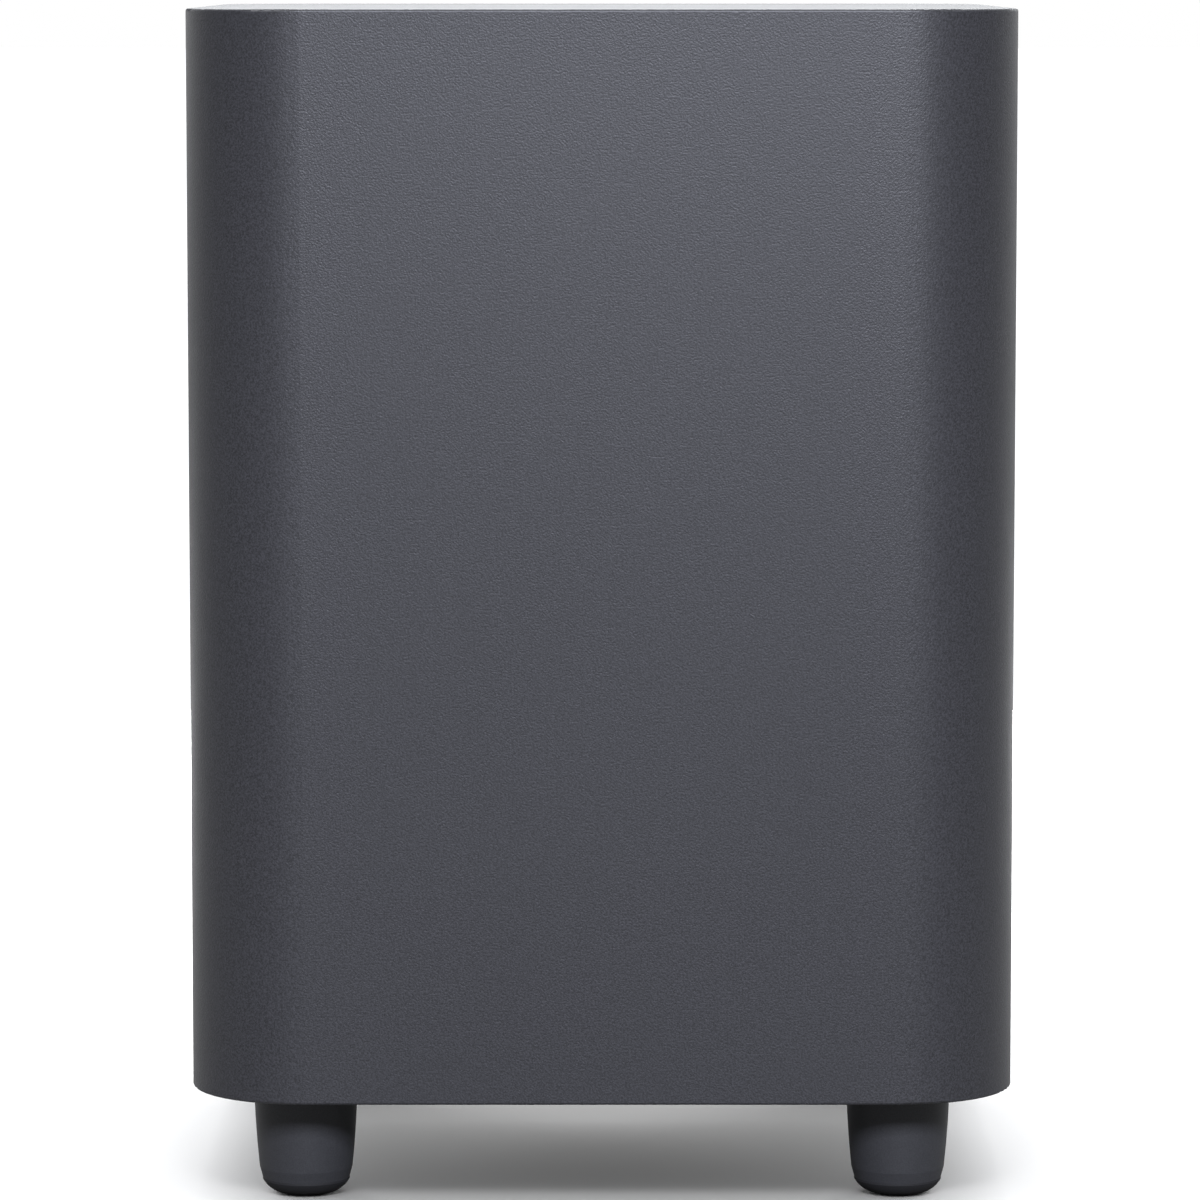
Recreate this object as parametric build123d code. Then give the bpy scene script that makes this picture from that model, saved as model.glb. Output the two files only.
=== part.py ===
from build123d import *
import os
from math import cos, pi, radians, sin, sqrt, tan

# Wireless down-firing subwoofer of a soundbar system, in millimetres.
# Origin: centre of the footprint, on the floor. +Z up, the plain front faces -Y, the rear panel +Y.

os.makedirs("parts", exist_ok=True)

# Driving dimensions of the cabinet
width = 305.0
depth = 305.0
height = 440.0
foot_height = 40.5
foot_inset = 42.0
corner_radius = 43.5
wall = 12.0
edge_round = 1.0
baffle_thickness = 18.0
brace_height = 240.0
brace_window = 200.0

# Driving dimensions of the port, which runs along Y
port_height = 330.0
port_radius = 30.0
port_wall = 2.5
port_inner_end = -45.0
port_joint = 126.0
flare_radius = 42.0
flange_radius = 50.0

# Driving dimensions of the driver, a 250 mm class woofer whose axis is Z
basket_radius = 130.0
surround_rim = (112.0, 118.0)
roll_centre = 104.0
roll_radius = 7.8
cone_lip = (89.0, 96.0)
coil_radius = 25.4

# Driving dimensions of the amplifier panel on the rear wall
panel_size = (150.0, 100.0)
panel_height = 150.0
panel_thickness = 2.5
gasket_thickness = 1.0
flush_gap = 0.5
inlet_x, inlet_z = -38.0, 125.0
button_x, led_x, button_z = 28.0, 42.0, 180.0

# Heights and planes that follow from them
base = foot_height
half_depth = depth / 2
inner_width = width - 2 * wall
inner_corner = corner_radius - wall
inner_wall = half_depth - wall
foot_centre = half_depth - foot_inset
baffle_top = base + baffle_thickness
seat_height = base + 8.0
flange_top = seat_height - 1.5
flange_base = flange_top - 4.0
sheet = 1.2
spider_height = flange_base + 49.0
basket_top = flange_base + 68.0
plate_top = basket_top + 8.0
magnet_top = plate_top + 20.0
panel_face = half_depth - flush_gap
panel_back = panel_face - panel_thickness
panel_seat = panel_back - gasket_thickness
board_face = panel_back - 19.9
board_thickness = 1.6
board_back = board_face - board_thickness


def save(shape, node):
    """Write one sub-part, or a group of like solids, to its own STEP file."""
    export_step(shape, f"parts/{node}.step")


def group(solids):
    return Compound(children=list(solids))


def block(x, y, z):
    """Box from its low and high value along each axis."""
    middle = Pos((x[0] + x[1]) / 2, (y[0] + y[1]) / 2, (z[0] + z[1]) / 2)
    return middle * Box(x[1] - x[0], y[1] - y[0], z[1] - z[0])


def disc(radius, low, high, x=0.0, y=0.0):
    """Upright cylinder between two heights."""
    return Pos(x, y, (low + high) / 2) * Cylinder(radius, high - low)


def ring(outer, inner, low, high):
    return disc(outer, low, high) - disc(inner, low, high)


def rod(radius, near, far, x, z):
    """Cylinder along Y, between two depths."""
    return Pos(x, (near + far) / 2, z) * Rot(90, 0, 0) * Cylinder(radius, far - near)


def rounded_block(size, radius, low, high):
    """Upright square block with rounded vertical corners."""
    return Pos(0, 0, low) * extrude(RectangleRounded(size, size, radius), high - low)


def panel(size, radius, near, far, x=0.0, z=0.0):
    """Rounded rectangular plate parallel to the rear wall."""
    outline = Plane((x, far, z), x_dir=(1, 0, 0), z_dir=(0, -1, 0)) * RectangleRounded(*size, radius)
    return extrude(outline, far - near)


def turned(*edges):
    """Solid of revolution about Z from the edges of its section, drawn as (radius, height)."""
    return revolve(Plane.XZ * make_face(Curve() + list(edges)), Axis.Z)


def turned_outline(points):
    return turned(Polyline(*points, close=True))


def along_y(solid, z):
    """Stand a solid made about Z on the port's axis: its +Z becomes +Y."""
    return Pos(0, 0, z) * Rot(-90, 0, 0) * solid


def lead(points, radius):
    """Flexible lead: straight runs joined by arcs as large as their runs allow."""
    runs = [Vector(*b) - Vector(*a) for a, b in zip(points, points[1:])]
    radii = []
    for before, after in zip(runs, runs[1:]):
        half_turn = radians(before.get_angle(after)) / 2
        radii.append(0.45 * min(before.length, after.length) / tan(half_turn))
    path = FilletPolyline(*points, radius=radii)
    tube = sweep(Plane(origin=path @ 0, z_dir=path % 0) * Circle(radius), path)
    full_volume = pi * radius**2 * path.length
    print("lead of diameter", 2 * radius, "length", round(path.length, 1))
    print("  volume ratio", round(tube.volume / full_volume, 4), "radii", [round(bend, 1) for bend in radii])
    return tube


corners = [(sx * foot_centre, sy * foot_centre) for sy in (-1, 1) for sx in (-1, 1)]
corner_names = ["front_left", "front_right", "rear_left", "rear_right"]


# Cabinet: fibreboard wrap, top panel, baffle, brace and glue blocks

panel_opening = (panel_size[0] - 18.0, panel_size[1] - 18.0)
panel_screw = (panel_size[0] / 2 - 4.5, panel_size[1] / 2 - 4.5)
panel_screws = [(sx * panel_screw[0], panel_height + sz * panel_screw[1])
                for sx in (-1, 0, 1) for sz in (-1, 1)]
panel_screws += [(sx * panel_screw[0], panel_height) for sx in (-1, 1)]
panel_pilot = 1.6
pilot_gap = 0.05
port_seat = half_depth - 3.6


def make_cabinet_shell():
    outside = rounded_block(width, corner_radius, base, height)
    outside = fillet(outside.faces().sort_by(Axis.Z)[-1].edges(), edge_round)
    outside = fillet(outside.faces().sort_by(Axis.Z)[0].edges(), edge_round)
    shell = outside - rounded_block(inner_width, inner_corner, base, height)
    shell -= rod(flare_radius + 2.5, inner_wall, half_depth, 0, port_height)
    shell -= rod(flange_radius + 0.3, port_seat, half_depth, 0, port_height)
    shell -= panel(panel_opening, 5.0, inner_wall, half_depth, 0, panel_height)
    shell -= panel((panel_size[0] + 0.6, panel_size[1] + 0.6), 8.3, panel_seat, half_depth, 0, panel_height)
    for x, z in panel_screws:
        shell -= rod(panel_pilot + pilot_gap, inner_wall + 1.5, panel_seat, x, z)
    return shell


def make_top_panel():
    return rounded_block(inner_width, inner_corner, height - wall, height)


def make_bottom_baffle():
    baffle = rounded_block(inner_width, inner_corner, base, baffle_top)
    baffle -= disc(driver_opening, base, baffle_top)
    baffle -= disc(basket_radius + 0.8, base, seat_height)
    for x, y in corners:
        baffle -= disc(insert_radius, base, baffle_top, x, y)
    for x, y in driver_screws:
        baffle -= disc(driver_screw_radius, seat_height, seat_height + 8, x, y)
    return baffle


def make_window_brace():
    window_corner = 30.0
    low, high = brace_height - wall / 2, brace_height + wall / 2
    window = rounded_block(brace_window, window_corner, low, high)
    return rounded_block(inner_width, inner_corner, low, high) - window


def make_glue_blocks():
    """Upright quarter-round blocks that back the joint of the top panel at each corner."""
    block_height, reach = 30.0, 52.0
    top = height - wall
    blocks = []
    for x, y in corners:
        corner = rounded_block(inner_width, inner_corner, top - block_height, top)
        sx, sy = x / foot_centre, y / foot_centre
        place = Pos(sx * inner_wall, sy * inner_wall, top - block_height / 2) * Rot(0, 0, 45)
        blocks.append(corner & (place * Box(reach, reach, block_height)))
    return blocks


# Port: tube with a flare at each end, through the rear wall

def make_port_tube():
    outer, end = port_radius + port_wall, port_inner_end
    lip, reach = 8.0, 12.0
    return along_y(turned(
        Line((port_radius, port_joint), (port_radius, end)),
        RadiusArc((port_radius, end), (port_radius + lip, end - reach), -(lip**2 + reach**2) / (2 * lip)),
        Line((port_radius + lip, end - reach), (outer + lip, end - reach)),
        RadiusArc((outer + lip, end - reach), (outer, end), (lip**2 + reach**2) / (2 * lip)),
        Line((outer, end), (outer, port_joint)),
        Line((outer, port_joint), (port_radius, port_joint)),
    ), port_height)


def make_port_flare():
    face, seat = half_depth - 0.2, port_seat + gasket_thickness
    socket, sleeve = port_radius + port_wall, port_radius + 2 * port_wall
    rise, run = flare_radius - port_radius, face - port_joint
    bend = (rise**2 + run**2) / (2 * rise)
    throat = seat - port_joint
    spread = bend - sqrt(bend**2 - throat**2)
    return along_y(turned(
        Line((socket, port_joint - 14), (socket, port_joint)),
        Line((socket, port_joint), (port_radius, port_joint)),
        RadiusArc((port_radius, port_joint), (flare_radius, face), bend),
        Line((flare_radius, face), (flange_radius, face)),
        Line((flange_radius, face), (flange_radius, seat)),
        Line((flange_radius, seat), (sleeve + spread, seat)),
        RadiusArc((sleeve + spread, seat), (sleeve, port_joint), -bend),
        Line((sleeve, port_joint), (sleeve, port_joint - 14)),
        Line((sleeve, port_joint - 14), (socket, port_joint - 14)),
    ), port_height)


def make_port_gasket():
    seal = rod(flange_radius - 0.5, port_seat, port_seat + gasket_thickness, 0, port_height)
    return seal - rod(flare_radius + 2.5, port_seat, port_seat + gasket_thickness, 0, port_height)


def make_wadding():
    """Polyester wadding: one pad on the front wall and one under the top panel."""
    under_top = height - wall
    front = block((-110, 110), (0.5 - inner_wall, 20 - inner_wall), (brace_height + 18, under_top - 36))
    top = block((-92, 92), (-100, 110), (under_top - 22, under_top - 0.5))
    return front, top


# Feet: moulded bodies with a rubber sole, each held by one screw in a tee nut in the baffle

foot_top_radius = 19.3
foot_mid_radius = 18.4
foot_low_radius = 17.3
toe_round = 9.4
toe_flat = foot_low_radius - toe_round
seam = 5.8
seam_groove = 0.35
insert_radius = 4.2
foot_screw_radius = 3.0
screw_pocket = 6.5
pocket_top = 14.0
toe_at_seam = toe_flat + sqrt(toe_round**2 - (toe_round - seam) ** 2)


def make_foot(x, y):
    side = ThreePointArc((foot_low_radius, toe_round + 0.4), (foot_mid_radius, 22.0), (foot_top_radius, base))
    body = turned(
        Line((0, seam), (toe_at_seam - seam_groove, seam)),
        Line((toe_at_seam - seam_groove, seam), (foot_low_radius, toe_round + 0.4)),
        side,
        Line((foot_top_radius, base), (0, base)),
        Line((0, base), (0, seam)),
    )
    body -= disc(screw_pocket, seam, pocket_top)
    body -= disc(foot_screw_radius + 0.3, pocket_top, base)
    return Pos(x, y, 0) * body


def make_sole(x, y):
    rim = toe_at_seam - seam_groove
    toe_end = toe_round - sqrt(toe_round**2 - (rim - toe_flat) ** 2)
    sole = turned(
        Line((0, 0), (toe_flat, 0)),
        RadiusArc((toe_flat, 0), (rim, toe_end), -toe_round),
        Line((rim, toe_end), (rim, seam)),
        Line((rim, seam), (0, seam)),
        Line((0, seam), (0, 0)),
    )
    return Pos(x, y, 0) * (sole + disc(screw_pocket - 0.3, seam, seam + 3))


def make_foot_screw(x, y):
    head_radius, head_height, key_radius, key_depth = 5.5, 4.0, 2.9, 2.5
    head_base = pocket_top - head_height
    screw = disc(head_radius, head_base, pocket_top) + disc(foot_screw_radius, pocket_top, baffle_top)
    socket = Pos(0, 0, head_base) * extrude(RegularPolygon(key_radius, 6), key_depth)
    return Pos(x, y, 0) * (screw - socket)


def make_tee_nut(x, y):
    barrel_base, plate_radius, nut_top = base + 3.0, 9.5, baffle_top + 1.5
    nut = disc(insert_radius, barrel_base, baffle_top) + disc(plate_radius, baffle_top, nut_top)
    return Pos(x, y, 0) * (nut - disc(foot_screw_radius, barrel_base, nut_top))


# Driver: basket, motor and moving parts, facing the floor

driver_opening = 118.0
driver_screw_radius = 2.4
screw_head_radius = 4.2
driver_screw_circle = 123.5
driver_screws = [(driver_screw_circle * cos(radians(22.5 + 45 * k)),
                  driver_screw_circle * sin(radians(22.5 + 45 * k))) for k in range(8)]
basket_outline = [
    (surround_rim[0], flange_base), (basket_radius, flange_base), (basket_radius, flange_top),
    (117, flange_top), (74, spider_height + 3), (63, spider_height + 3), (61, basket_top), (36, basket_top),
    (36, basket_top - 3), (58.5, basket_top - 3), (60, spider_height), (71, spider_height),
    (surround_rim[0], flange_top + 0.5),
]
spokes = 6
window_angle = 44.0
cone_neck = flange_base + 40.0
cone_slope = (cone_neck - flange_base) / (cone_lip[0] - coil_radius)
pole_radius = 24.4
pole_base = basket_top - 1.0
coil_middle = basket_top + 4.0
coil_height = 16.0


def make_basket():
    """Die-cast basket: six spokes between the flange and the spider's seat, and vents behind the seat."""
    basket = turned_outline(basket_outline)
    for low, high, inner, outer in ((10, 44, 70, 125), (55, 62, 40, 70)):
        slot = Rectangle(outer - inner, high - low, align=(Align.MIN, Align.MIN))
        section = Plane.XZ * (Pos(inner, flange_base + low) * slot)
        window = revolve(section, Axis.Z, revolution_arc=window_angle)
        for k in range(spokes):
            basket -= Rot(0, 0, 360 / spokes * k - window_angle / 2) * window
    for x, y in driver_screws:
        basket -= disc(driver_screw_radius + 0.3, flange_base, flange_top, x, y)
    return basket


def make_driver_gasket():
    gasket = ring(basket_radius, driver_opening, flange_top, seat_height)
    for x, y in driver_screws:
        gasket -= disc(driver_screw_radius + 0.3, flange_top, seat_height, x, y)
    return gasket


def make_surround():
    """Rubber half roll between the basket's flange and the lip of the cone."""
    low, outside, inside = flange_base - sheet, roll_radius + sheet / 2, roll_radius - sheet / 2
    reach = sqrt(outside**2 - sheet**2)
    rim, lip = surround_rim[1], cone_lip[0]
    return turned(
        Line((rim, flange_base), (rim, low)),
        Line((rim, low), (roll_centre + reach, low)),
        ThreePointArc((roll_centre + reach, low), (roll_centre, flange_base - outside),
                      (roll_centre - reach, low)),
        Line((roll_centre - reach, low), (lip, low)),
        Line((lip, low), (lip, flange_base)),
        Line((lip, flange_base), (roll_centre - inside, flange_base)),
        ThreePointArc((roll_centre - inside, flange_base), (roll_centre, flange_base - inside),
                      (roll_centre + inside, flange_base)),
        Line((roll_centre + inside, flange_base), (rim, flange_base)),
    )


def make_trim_ring():
    outer, inner = surround_rim[1] + 0.5, roll_centre + roll_radius + 1.6
    return ring(outer, inner, flange_base - 2 * sheet, flange_base - sheet)


def make_cone():
    thick = sheet * sqrt(1 + cone_slope**2)
    return turned_outline([
        (cone_lip[1], flange_base), (cone_lip[0], flange_base), (coil_radius, cone_neck),
        (coil_radius, cone_neck + thick), (cone_lip[0] + 0.3, flange_base + sheet),
        (cone_lip[1], flange_base + sheet),
    ])


def make_dust_cap():
    edge, crown, skin = 42.0, 12.5, 0.8
    rim = cone_neck - (edge - coil_radius) * cone_slope - 0.2
    bend = (edge**2 + crown**2) / (2 * crown)
    dome = Pos(0, 0, rim - crown + bend) * (Sphere(bend) - Sphere(bend - skin))
    return dome & disc(edge, rim - crown - 1, rim)


def make_spider():
    """Corrugated cloth disc: equal waves from the former out to a flat rim."""
    waves, skin, swing = 9, 0.6, 1.7
    edge, rim = 61.4, 69.5
    pitch = (edge - coil_radius) / waves
    top, low = spider_height, spider_height - skin
    upper, lower = [], []
    for k in range(waves):
        start = coil_radius + k * pitch
        bulge = swing if k % 2 else -swing
        upper.append(ThreePointArc((start, top), (start + pitch / 2, top + bulge), (start + pitch, top)))
        lower.append(ThreePointArc((start, low), (start + pitch / 2, low + bulge), (start + pitch, low)))
    outer = [Line((edge, top), (rim, top)), Line((rim, top), (rim, low)), Line((rim, low), (edge, low))]
    return turned(*upper, *outer, *lower, Line((coil_radius, low), (coil_radius, top)))


def make_former():
    return ring(coil_radius, coil_radius - 0.4, cone_neck - 2, coil_middle + 10)


def make_voice_coil():
    return ring(coil_radius + 1.2, coil_radius, coil_middle - coil_height / 2, coil_middle + coil_height / 2)


def make_top_plate():
    return ring(55, coil_radius + 1.9, basket_top, plate_top)


def make_magnet():
    return chamfer(ring(60, 30, plate_top, magnet_top).edges().filter_by(GeomType.CIRCLE), 0.8)


def make_pole_yoke():
    yoke_top, vent_radius = magnet_top + 8.0, 8.0
    yoke = chamfer(disc(56, magnet_top, yoke_top).edges().group_by(Axis.Z)[-1], 2.0)
    return yoke + disc(pole_radius, pole_base, magnet_top) - disc(vent_radius, pole_base, yoke_top)


terminal_y = 101.0
terminal_z = 75.0


def make_terminal_strip():
    strip = block((-21, 21), (terminal_y, terminal_y + 2), (terminal_z - 8, terminal_z + 8))
    strip += rod(4, terminal_y - 20, terminal_y, 0, terminal_z)
    outer_wall = [(0, flange_top), *basket_outline[3:5], (0, spider_height + 3)]
    return strip - turned_outline(outer_wall)


def make_tinsel_leads():
    """Flexible braided leads from the terminal strip to the back of the cone."""
    leads = []
    for s in (-1, 1):
        leads.append(lead([(s * 17, terminal_y - 0.1, terminal_z), (s * 17, 93, 75.5), (s * 16, 80, 82.5),
                           (s * 15, 65, 83.5), (s * 14, 54, 77), (s * 13.5, 48.5, 71.6)], 0.8))
    return leads


def make_driver_screw(x, y):
    head = fillet(disc(screw_head_radius, flange_base - 2.6, flange_base).edges().group_by(Axis.Z)[0], 1.2)
    screw = head + disc(driver_screw_radius, flange_base, seat_height + 8)
    cross = Pos(0, 0, flange_base - 2.0) * (Box(4.4, 0.9, 1.4) + Box(0.9, 4.4, 1.4))
    return Pos(x, y, 0) * (screw - cross)


# Amplifier panel on the rear wall: plate, inlet, button, lamp and boards

def make_amp_plate():
    plate = panel(panel_size, 8.0, panel_back, panel_face, 0, panel_height)
    plate = chamfer(plate.faces().sort_by(Axis.Y)[-1].edges(), 0.4)
    plate -= panel(inlet_size, 2.0, panel_back, panel_face, inlet_x, inlet_z)
    plate -= rod(button_radius + 0.3, panel_back, panel_face, button_x, button_z)
    plate -= rod(light_pipe_radius, panel_back, panel_face, led_x, button_z)
    for x, z in panel_screws:
        plate -= make_panel_screw(x, z, 0.0)
        plate -= rod(panel_pilot + 0.25, panel_back, panel_face, x, z)
    return plate


def make_amp_gasket():
    gasket = panel(panel_size, 8.0, panel_seat, panel_back, 0, panel_height)
    gasket -= panel(panel_opening, 5.0, panel_seat, panel_back, 0, panel_height)
    for x, z in panel_screws:
        gasket -= rod(panel_pilot + 0.25, panel_seat, panel_back, x, z)
    return gasket


def make_panel_screw(x, z, slot_depth=1.2):
    """Countersunk screw, flush with the plate, its drive recess cut when slot_depth is given."""
    head = Pos(x, panel_face - 0.95, z) * Rot(-90, 0, 0) * Cone(panel_pilot, 3.5, 1.9)
    screw = head + rod(panel_pilot, inner_wall + 1.5, panel_face - 1.9, x, z)
    if slot_depth:
        deep = (panel_face - slot_depth, panel_face)
        screw -= block((x - 1.9, x + 1.9), deep, (z - 0.4, z + 0.4))
        screw -= block((x - 0.4, x + 0.4), deep, (z - 1.9, z + 1.9))
    return screw


inlet_size = (25.0, 15.0)
pin_radius = 1.2
tail_radius = 0.8
pin_spacing = 8.6
lobe_radius = 4.15
inlet_floor = panel_face - 12.5
inlet_back = inlet_floor - 3.0
pins = [(inlet_x + s * pin_spacing / 2, inlet_z) for s in (-1, 1)]


def make_mains_inlet():
    """Two-pole mains inlet: a figure-of-eight socket with a narrower waist between its lobes."""
    body_size = (inlet_size[0] - 0.4, inlet_size[1] - 0.4)
    housing = panel(body_size, 1.8, inlet_back, panel_face, inlet_x, inlet_z)
    housing = chamfer(housing.faces().sort_by(Axis.Y)[-1].edges(), 0.5)
    housing -= block((inlet_x - pin_spacing / 2, inlet_x + pin_spacing / 2), (inlet_floor, panel_face),
                     (inlet_z - 2.9, inlet_z + 2.9))
    for x, z in pins:
        housing -= rod(lobe_radius, inlet_floor, panel_face, x, z)
        housing -= rod(tail_radius, inlet_back, inlet_floor, x, z)
    return housing


def make_inlet_pin(x, z):
    """Contact pin that stands free in the socket, with a thinner tail soldered to the power board."""
    pin = rod(pin_radius, inlet_floor, panel_face - 1.5, x, z)
    return chamfer(pin.edges().sort_by(Axis.Y)[-1], 0.4) + rod(tail_radius, board_face, inlet_floor, x, z)


button_radius = 4.5
light_pipe_radius = 1.6
plunger_radius = 1.5
switch_front = board_face + 13.5
plunger_front = switch_front + 1.2
control_board_face = panel_back - 9.9


def make_pair_button():
    """Cap and stem in one moulding, with a shoulder behind the plate that keeps it in."""
    cap = rod(button_radius, panel_back - 1.2, half_depth - 0.2, button_x, button_z)
    cap = fillet(cap.edges().sort_by(Axis.Y)[-1], 0.6)
    shoulder = rod(button_radius + 1.0, panel_back - 1.3, panel_back - 0.1, button_x, button_z)
    stem = rod(plunger_radius + 0.3, plunger_front, panel_back - 1.2, button_x, button_z)
    return cap + shoulder + stem


def make_switch_plunger():
    return rod(plunger_radius, switch_front - 1.5, plunger_front, button_x, button_z)


def make_tact_switch():
    x, z = (button_x - 3, button_x + 3), (button_z - 3, button_z + 3)
    body = block(x, (control_board_face, switch_front), z)
    return body - rod(plunger_radius + 0.3, switch_front - 2.5, switch_front, button_x, button_z)


def make_status_led():
    lamp = rod(1.5, control_board_face, control_board_face + 4.0, led_x, button_z)
    rim = rod(1.9, control_board_face, control_board_face + 1.0, led_x, button_z)
    return fillet(lamp.edges().sort_by(Axis.Y)[-1], 1.3) + rim


def make_light_pipe():
    pipe = rod(light_pipe_radius, panel_back - 4.5, panel_face + 0.2, led_x, button_z)
    shoulder = rod(light_pipe_radius + 1.0, panel_back - 1.2, panel_back, led_x, button_z)
    return fillet(pipe.edges().sort_by(Axis.Y)[-1], 0.5) + shoulder


control_holes = [(button_x - 5, button_z - 9), (led_x + 5, button_z - 9)]
power_holes = [(x, z) for x in (-60, -2) for z in (panel_height - 37, panel_height + 37)]
amp_holes = [(x, z) for x in (10, 60) for z in (panel_height - 37, panel_height + 37)]
screw_radius = 1.5


def make_board(x, z, face, holes):
    """Printed circuit board parallel to the rear wall, with a clearance hole for each screw."""
    board = block(x, (face - board_thickness, face), z)
    for hole_x, hole_z in holes:
        board -= rod(screw_radius + 0.2, face - board_thickness, face, hole_x, hole_z)
    return board


def make_standoff(x, z, face):
    """Hexagonal spacer pressed into the back of the panel, tapped for one board screw."""
    hexagon = Plane((x, panel_back, z), x_dir=(1, 0, 0), z_dir=(0, -1, 0)) * RegularPolygon(3.0, 6)
    return extrude(hexagon, panel_back - face) - rod(screw_radius, face, face + 6, x, z)


def make_board_screw(x, z, face):
    back = face - board_thickness
    head = fillet(rod(2.75, back - 2, back, x, z).edges().sort_by(Axis.Y)[0], 0.8)
    return head + rod(screw_radius, back, face + 5, x, z)


def make_bulk_capacitor(x, z):
    can = rod(9, board_back - 32, board_back, x, z)
    can = fillet(can.edges().sort_by(Axis.Y)[0], 1.2)
    crimp = (board_back - 5, board_back - 4)
    return can - (rod(9, *crimp, x, z) - rod(8.3, *crimp, x, z))


def make_transformer():
    x, z, y = -12.0, 142.0, board_back - 14
    core = block((x - 14, x + 14), (y - 6, y + 6), (z - 15, z + 15))
    bobbin = block((x - 12, x + 12), (y - 13, y + 14), (z - 9, z + 9))
    return core + bobbin


def make_mains_choke():
    x, z = -46.0, 145.0
    torus = Pos(x, board_back - 6, z) * Rot(90, 0, 0) * Torus(7.5, 3.6)
    return torus + block((x - 9, x + 9), (board_back - 2.6, board_back), (z - 9, z + 9))


def make_fuse():
    z, y = 116.0, board_back - 5
    tube = Pos(-16, y, z) * Rot(0, 90, 0) * Cylinder(2.3, 20)
    for x in (-24, -8):
        tube += Pos(x, y, z) * Rot(0, 90, 0) * Cylinder(2.6, 5)
        tube += block((x - 1.5, x + 1.5), (y, board_back), (z - 1, z + 1))
    return tube


def make_heatsink():
    """Finned aluminium extrusion over the output stage, fins along Y."""
    x, z, fins = (13, 57), (148, 176), 9
    sink = block(x, (board_back - 6, board_back - 2), z)
    pitch = (x[1] - x[0] - 1.6) / (fins - 1)
    for k in range(fins):
        fin = x[0] + k * pitch
        sink += block((fin, fin + 1.6), (board_back - 26, board_back - 6), z)
    return sink + block((28, 42), (board_back - 2, board_back), (155, 169))


def make_output_inductor(x, z):
    drum_radius, post_radius = 8.0, 7.0
    drum = rod(drum_radius, board_back - 16, board_back, x, z)
    winding = (board_back - 13, board_back - 3)
    return drum - (rod(drum_radius, *winding, x, z) - rod(post_radius, *winding, x, z))


def make_wireless_module():
    """Radio module: a small daughter board with a shield can and a bare aerial end."""
    card = block((14, 34), (board_face, board_face + 1.2), (130, 164))
    return card + block((15.5, 32.5), (board_face + 1.2, board_face + 3.4), (132, 154))


def make_speaker_leads():
    routes = [
        [(17, terminal_y + 2, terminal_z), (17, 111, terminal_z), (23, 116, 84), (32, 117.5, 95),
         (40, 118.6, 110), (40, board_back, 110)],
        [(-17, terminal_y + 2, terminal_z), (-17, 111, terminal_z), (-7, 115, 86), (7, 116.5, 97),
         (21, 118, 106), (33, 119.5, 115), (33, board_back, 115)],
    ]
    return [lead(route, 1.1) for route in routes]


def make_control_lead():
    back = control_board_face - board_thickness
    route = [(35, back, 182), (35, back - 4.8, 182), (35, board_face + 4.8, 166), (35, board_face, 166)]
    return lead(route, 0.5)


save(make_cabinet_shell(), "cabinet_shell")
save(make_top_panel(), "top_panel")
save(make_bottom_baffle(), "bottom_baffle")
save(make_window_brace(), "window_brace")
save(group(make_glue_blocks()), "glue_blocks")
save(make_port_tube(), "port_tube")
save(make_port_flare(), "port_flare")
save(make_port_gasket(), "port_gasket")
for pad, pad_name in zip(make_wadding(), ("wadding_front", "wadding_top")):
    save(pad, pad_name)

for (foot_x, foot_y), corner_name in zip(corners, corner_names):
    save(make_foot(foot_x, foot_y), f"foot_{corner_name}")
    save(make_sole(foot_x, foot_y), f"sole_{corner_name}")
save(group(make_foot_screw(x, y) for x, y in corners), "foot_screws")
save(group(make_tee_nut(x, y) for x, y in corners), "foot_tee_nuts")

save(make_basket(), "driver_basket")
save(make_driver_gasket(), "driver_gasket")
save(make_surround(), "surround")
save(make_trim_ring(), "surround_trim_ring")
save(make_cone(), "cone")
save(make_dust_cap(), "dust_cap")
save(make_former(), "voice_coil_former")
save(make_voice_coil(), "voice_coil")
save(make_spider(), "spider")
save(make_top_plate(), "magnet_top_plate")
save(make_magnet(), "ferrite_magnet")
save(make_pole_yoke(), "pole_yoke")
save(make_terminal_strip(), "terminal_strip")
save(group(make_tinsel_leads()), "tinsel_leads")
save(group(make_driver_screw(x, y) for x, y in driver_screws), "driver_screws")

save(make_amp_plate(), "amp_plate")
save(make_amp_gasket(), "amp_gasket")
save(group(make_panel_screw(x, z) for x, z in panel_screws), "amp_screws")
save(make_mains_inlet(), "mains_inlet")
save(group(make_inlet_pin(x, z) for x, z in pins), "inlet_pins")
save(make_pair_button(), "pair_button")
save(make_switch_plunger(), "switch_plunger")
save(make_tact_switch(), "tact_switch")
save(make_status_led(), "status_led")
save(make_light_pipe(), "light_pipe")

save(make_board((button_x - 9, led_x + 9), (button_z - 13, button_z + 8), control_board_face, control_holes),
     "control_board")
save(make_board((-64, 2), (panel_height - 40, panel_height + 40), board_face, power_holes), "power_board")
save(make_board((6, 64), (panel_height - 40, panel_height + 40), board_face, amp_holes), "amp_board")
fixings = [(x, z, board_face) for x, z in power_holes + amp_holes]
fixings += [(x, z, control_board_face) for x, z in control_holes]
save(group(make_standoff(*fixing) for fixing in fixings), "board_standoffs")
save(group(make_board_screw(*fixing) for fixing in fixings), "board_screws")
save(group(make_bulk_capacitor(x, 176) for x in (-50, -28)), "bulk_capacitors")
save(make_transformer(), "transformer")
save(make_mains_choke(), "mains_choke")
save(make_fuse(), "fuse")
save(make_heatsink(), "amp_heatsink")
save(group(make_output_inductor(x, 130) for x in (24, 46)), "output_inductors")
save(make_wireless_module(), "wireless_module")
save(group(make_speaker_leads()), "speaker_leads")
save(make_control_lead(), "control_lead")
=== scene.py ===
from math import cos, pi, radians, sin

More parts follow.
